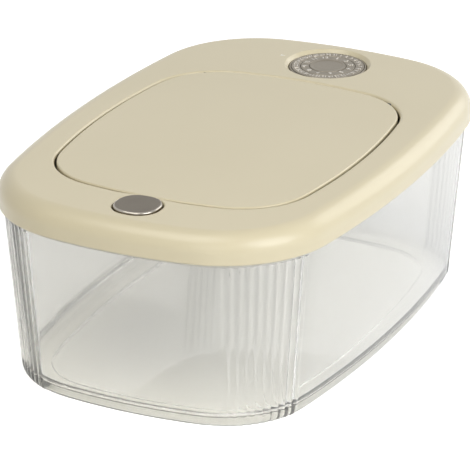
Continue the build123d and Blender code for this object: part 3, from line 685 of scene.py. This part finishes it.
# figures round a ring with their tops outward, the first at the back and the rest clockwise
def makeNumerals(node, body, reach, level):
    ring = numerals[node]
    parts = []
    for number in range(1, ring["count"] + 1):
        points, faces = figurePart(number, ring["height"])
        angle = math.pi / 2 - 2 * math.pi * (number - 1) / ring["count"]
        across = np.array((math.sin(angle), -math.cos(angle)))
        outward = np.array((math.cos(angle), math.sin(angle)))
        sideways = points[:, :1] * ring["widthShare"]
        plan = sideways * across + (reach + points[:, 1:2]) * outward + (0.0, dialY)
        height = points[:, 2] + level + (numerals["rise"] - numerals["sink"]) / 2
        parts.append((np.column_stack([plan, height]), faces))
    meshPiece(ring["name"], parts, brightPlate, body, sharp=numerals["sharp"])


# date dial: a tray, two rings and a cap on one axis, each ring with a lip under its inner neighbour;
# the rings' inner radii are shares of the tray's radius
dial = {"rimWidth": 1.3 * mm, "rimRound": 0.8 * mm, "trayFloor": 1.5 * mm,
        "bore": 1.1 * mm, "spindle": 4.0 * mm,
        "innerShares": {"day_ring": 0.711, "month_ring": 0.479},
        "edge": 0.35 * mm, "gap": 0.3 * mm, "lip": 1.4 * mm, "lipHeight": 0.7 * mm,
        "capHeight": 1.7 * mm, "capSink": 0.45 * mm, "capLedge": 1.2 * mm,
        "dish": 0.3 * mm, "dishRun": 1.2 * mm,
        "cuts": 128, "edgeCuts": 5, "dishCuts": 5, "sharp": 35.0}


# revolved outline: points of radius and level, walked round the dial's axis and closed on itself
def turnedParts(outline):
    reach, level = np.array([*outline, outline[0]]).T
    return [gridPart(carry(roundRail(0.0, dialY, dial["cuts"]), -reach, level))]


# edge of a turned piece, softened by a small quarter round
def softCorner(reach, level, inward, soft=dial["edge"]):
    turn = quarterTurn(dial["edgeCuts"])
    return list(zip(reach + inward * soft * (1 - np.cos(turn)), level - soft * (1 - np.sin(turn))))


def makeTray():
    low, high = dialLow.z, dialHigh.z
    under = lidTop - lid["dialDepth"]
    floor = under + dial["trayFloor"]
    rim, bore, spindle = dialRadius - dial["rimWidth"], dial["bore"], dial["spindle"]
    outline = [(bore, low), (spindle, low), (spindle, under), (dialRadius, under),
               *softCorner(dialRadius, high, -1, dial["rimRound"]), *softCorner(rim, high, 1)[::-1],
               (rim, floor), (bore, floor)]
    parts = turnedParts(outline)
    meshPiece("dialTray", parts, platedMetal, "lid", ["dial_base"], dial["sharp"])


# ring with its figures: a foot narrower than the ring stands inside the lip of the ring outside it;
# what comes back is the radius for a foot inside this ring's own lip
def makeRing(node, name, body, foot=None):
    low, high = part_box(node)
    outer, bottom, top = high.x, low.z, high.z
    foot = foot or outer
    reach = dial["innerShares"][node] * dialRadius
    lip, ledge = reach - dial["lip"], bottom + dial["lipHeight"]
    step = ledge + dial["gap"]
    outline = [(lip, bottom), (foot, bottom), (foot, step), (outer, step), *softCorner(outer, top, -1),
               *softCorner(reach, top, 1)[::-1], (reach, ledge), (lip, ledge)]
    outline = [q for k, q in enumerate(outline) if k == 0 or q != outline[k - 1]]
    meshPiece(name, turnedParts(outline), platedMetal, body, [node], dial["sharp"])
    makeNumerals(node, body, (reach + outer) / 2, top)
    return lip - dial["gap"]


# cap over the inner ring's lip, with a shallow dish that falls by dish * t * t * (3 - 2t) along its run
def makeDialCap():
    low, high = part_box("dial_cap")
    outer, top = high.x, high.z - dial["capSink"]
    hub, ledge = outer - dial["lip"] - dial["gap"], high.z - dial["capHeight"]
    t = np.linspace(0, 1, dial["dishCuts"] + 1)
    dish = zip(outer - dial["capLedge"] - dial["dishRun"] * t, top - dial["dish"] * t * t * (3 - 2 * t))
    outline = [(hub, low.z), (hub, ledge), (outer, ledge), *softCorner(outer, top, -1), *dish]
    reach, level = np.array(outline).T
    parts = carriedParts(roundRail(0.0, dialY, dial["cuts"]), -reach, level)
    meshPiece("dialCap", parts, platedMetal, "lid", ["dial_cap"], dial["sharp"])


makeTray()
monthFoot = makeRing("day_ring", "dayRing", "day_dial")
makeRing("month_ring", "monthRing", "month_dial", monthFoot)
makeDialCap()

# index mark beside the dial: a small raised pointer
mark = {"x": -34.0 * mm, "y": 1.0 * mm, "length": 3.2 * mm, "half": 1.1 * mm,
        "rise": 0.25 * mm, "sink": 0.3 * mm}


def makeMark():
    y = dialY + mark["y"]
    tip, tail = mark["x"] + mark["length"] / 2, mark["x"] - mark["length"] / 2
    loop = [(tip, y), (tail, y + mark["half"]), (tail, y - mark["half"])]
    parts = prismParts(loop, lidTop - mark["sink"], lidTop + mark["rise"])
    meshPiece("indexMark", parts, whitePlastic, "lid")


makeMark()

# springs: coils of thin wire for the button and the latch, and door springs whose coils run on in straight legs
springs = {"buttonX": 9.0 * mm, "buttonRadius": 2.4 * mm, "latchRadius": 2.2 * mm,
           "thinWire": 0.4 * mm, "turns": 5, "travel": 3.0 * mm,
           "doorRadius": 2.4 * mm, "doorWire": 0.5 * mm, "doorPitch": 1.55 * mm, "doorTurns": 5.25,
           "frontLeg": 22.0 * mm, "backLeg": 10.1 * mm, "bendStart": 6.0 * mm, "bendEnd": 15.0 * mm,
           "turnCuts": 28, "firstCuts": 24, "lastCuts": 8, "wireSides": 10, "sharp": 60.0}


# wire along a helix with straight legs: centre = (R cos a, R sin a, pitch a / 2 pi) in the spring's own axes,
# with the angle held at the ends while the legs run on along the tangent
def springParts(origin, axes, radius, wire, pitch, turns, firstLeg=0.0, lastLeg=0.0):
    firstCuts, lastCuts, sides = springs["firstCuts"], springs["lastCuts"], springs["wireSides"]
    angle = np.linspace(0, 2 * math.pi * turns, int(springs["turnCuts"] * turns) + 1)
    run = np.zeros(len(angle))
    if firstLeg:
        run = np.concatenate([np.linspace(-firstLeg, 0, firstCuts + 1)[:-1], run])
        angle = np.concatenate([np.zeros(firstCuts), angle])
    if lastLeg:
        run = np.concatenate([run, np.linspace(0, lastLeg, lastCuts + 1)[1:]])
        angle = np.concatenate([angle, np.full(lastCuts, angle[-1])])
    lift = pitch / (2 * math.pi)
    outward = np.stack([np.cos(angle), np.sin(angle), np.zeros(len(angle))], 1)
    tangent = np.stack([-radius * np.sin(angle), radius * np.cos(angle), np.full(len(angle), lift)], 1)
    tangent /= np.linalg.norm(tangent, axis=1)[:, None]
    centre = radius * outward + np.outer(lift * angle, (0, 0, 1)) + run[:, None] * tangent
    third = np.cross(tangent, outward)
    turn = np.linspace(0, 2 * math.pi, sides, endpoint=False)
    ring = np.cos(turn)[None, :, None] * outward[:, None] + np.sin(turn)[None, :, None] * third[:, None]
    grid = (centre[:, None] + wire * ring) @ np.array(axes) + origin
    return [gridPart(np.concatenate([grid, grid[:, :1]], 1), closed=False),
            *[(end, np.arange(sides)[None]) for end in (grid[0], grid[-1])]]


# coil of thin wire that fills a length
def coilParts(origin, axes, radius, length):
    wire, turns = springs["thinWire"], springs["turns"]
    return springParts(origin, axes, radius, wire, (length - 2 * wire) / turns, turns)


def makeButtonSprings():
    low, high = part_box("button_springs")
    length = high.z - low.z
    parts = []
    for side in (1, -1):
        origin = (side * springs["buttonX"], buttonY, low.z + springs["thinWire"])
        parts += coilParts(origin, np.eye(3) * (side, 1, 1), springs["buttonRadius"], length)
    coils = meshPiece("buttonSprings", parts, drawnSteel, "lid", ["button_springs"], springs["sharp"])
    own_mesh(coils)


def makeLatchSpring():
    low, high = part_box("latch_spring")
    length = high.y - low.y
    origin = (0.0, low.y + springs["thinWire"], (low.z + high.z) / 2)
    axes = np.array([(1, 0, 0), (0, 0, -1), (0, 1, 0)])
    parts = coilParts(origin, axes, springs["latchRadius"], length)
    coil = meshPiece("latchSpring", parts, drawnSteel, "lid", ["latch_spring"], springs["sharp"])
    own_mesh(coil)


def makeDoorSpring(node, name, side):
    low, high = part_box(node)
    radius, wire = springs["doorRadius"], springs["doorWire"]
    startX = high.x if side < 0 else low.x
    coilY = low.y + springs["frontLeg"]
    origin = (startX + side * wire, coilY, high.z - wire - radius)
    axes = np.array([(0, 0, 1), (0, 1, 0), (side, 0, 0)])
    parts = springParts(origin, axes, radius, wire, springs["doorPitch"], springs["doorTurns"],
                        springs["frontLeg"], springs["backLeg"])
    coil = meshPiece(name, parts, drawnSteel, None, [node], springs["sharp"])
    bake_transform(coil)


makeButtonSprings()
makeLatchSpring()
makeDoorSpring("door_spring_left", "doorSpringLeft", -1)
makeDoorSpring("door_spring_right", "doorSpringRight", 1)

# floor, backdrop and light; lift is the floor's glow near the object and far off, and liftReach those distances
white = (1, 1, 1, 1)
studio = {"floorSize": 5.0, "floorDrop": 0.4 * mm, "floorTone": (0.97, 0.97, 0.97, 1), "floorRoughness": 0.9,
          "lift": (0.50, 0.80), "liftReach": (0.45, 1.6), "worldLight": 0.20,
          "lamps": [  # name, place, aim, size, watts, tint
              ("keyRight", (1.57, -0.56, 1.02), (0.0, 0.0, 0.1), 1.5, 24.5, (0.94, 0.965, 1.0)),
              ("topSoft", (-0.3, -1.0, 2.05), (0.0, 0.0, 0.1), 1.7, 20.5, (1.0, 0.985, 0.93)),
              ("frontSoft", (0.5, -2.2, 0.9), (0.0, 0.0, 0.08), 1.2, 4.5, (0.95, 0.97, 1.0)),
              ("backRight", (1.0, 2.0, 1.05), (0.0, 0.0, 0.1), 1.8, 15.0, (1.0, 1.0, 1.0))]}


# the floor glows to the camera and in reflections, more so away from the object, and not through the tub
def makeFloor():
    half = studio["floorSize"] / 2
    mesh = bpy.data.meshes.new("paleFloor")
    corners = [(-half, -half, 0), (half, -half, 0), (half, half, 0), (-half, half, 0)]
    mesh.from_pydata(corners, [], [(0, 1, 2, 3)])
    floor = bpy.data.objects.new("paleFloor", mesh)
    floor.location.z = -studio["floorDrop"]
    bpy.context.scene.collection.objects.link(floor)
    material, tree, shader = newMaterial("paleFloor")
    shader.inputs["Base Color"].default_value = studio["floorTone"]
    shader.inputs["Roughness"].default_value = studio["floorRoughness"]
    shader.inputs["Specular IOR Level"].default_value = 0.0
    shader.inputs["Emission Color"].default_value = white
    away = tree.nodes.new("ShaderNodeVectorMath")
    away.operation = "LENGTH"
    link(tree, tree.nodes.new("ShaderNodeTexCoord").outputs["Object"], away.inputs[0])
    glow = mapRange(tree, away.outputs["Value"], *studio["lift"], studio["liftReach"])
    rays = tree.nodes.new("ShaderNodeLightPath").outputs
    mirrored = mathNode(tree, "SUBTRACT", rays["Is Glossy Ray"], rays["Is Transmission Ray"])
    seenBy = mathNode(tree, "MAXIMUM", rays["Is Camera Ray"], mirrored)
    link(tree, mathNode(tree, "MULTIPLY", seenBy, glow), shader.inputs["Emission Strength"])
    mesh.materials.append(material)


# the backdrop is white where it is seen, reflected or seen through the tub, and gives little light
def makeWorld():
    world = bpy.data.worlds.new("paleStudio")
    bpy.context.scene.world = world
    world.use_nodes = True
    tree = world.node_tree
    soft, seen = tree.nodes["Background"], tree.nodes.new("ShaderNodeBackground")
    soft.inputs["Color"].default_value = white
    soft.inputs["Strength"].default_value = studio["worldLight"]
    seen.inputs["Color"].default_value = white
    rays = tree.nodes.new("ShaderNodeLightPath").outputs
    seenBy = mathNode(tree, "MAXIMUM", rays["Is Camera Ray"], rays["Is Glossy Ray"])
    seenBy = mathNode(tree, "MAXIMUM", seenBy, rays["Is Transmission Ray"])
    backdrop = mixShaders(tree, seenBy, soft.outputs[0], seen.outputs[0])
    link(tree, backdrop, tree.nodes["World Output"].inputs["Surface"])


def makeLamps():
    for name, place, aim, size, watts, tint in studio["lamps"]:
        lamp = bpy.data.lights.new(name, "AREA")
        lamp.shape = "DISK"
        lamp.size = size
        lamp.energy = watts
        lamp.color = tint
        holder = bpy.data.objects.new(name, lamp)
        holder.location = place
        holder.rotation_euler = (Vector(aim) - Vector(place)).to_track_quat("-Z", "Y").to_euler()
        bpy.context.scene.collection.objects.link(holder)


makeFloor()
makeWorld()
makeLamps()
print("studio:", len(studio["lamps"]), "lamps")

# camera at the photograph's angle: degrees, metres, and millimetres for lens and sensor
shot = {"azimuth": 25.797, "elevation": 22.63, "distance": 2.52809, "aim": (-0.004386, 0.0, 0.059199),
        "lens": 295.3, "sensor": 36.0, "farEnd": 60.0}


def makeCamera():
    a, e = math.radians(shot["azimuth"]), math.radians(shot["elevation"])
    back = Vector((math.sin(a) * math.cos(e), -math.cos(a) * math.cos(e), math.sin(e)))
    camera = bpy.data.cameras.new("shot")
    camera.sensor_fit = "HORIZONTAL"
    camera.sensor_width = shot["sensor"]
    camera.lens = shot["lens"]
    camera.clip_end = shot["farEnd"]
    holder = bpy.data.objects.new("shot", camera)
    holder.location = Vector(shot["aim"]) + back * shot["distance"]
    holder.rotation_euler = (-back).to_track_quat("-Z", "Y").to_euler()
    bpy.context.scene.collection.objects.link(holder)
    bpy.context.scene.camera = holder


makeCamera()
bpy.context.scene.view_settings.view_transform = "Standard"
print("camera:", shot["lens"], "mm lens")
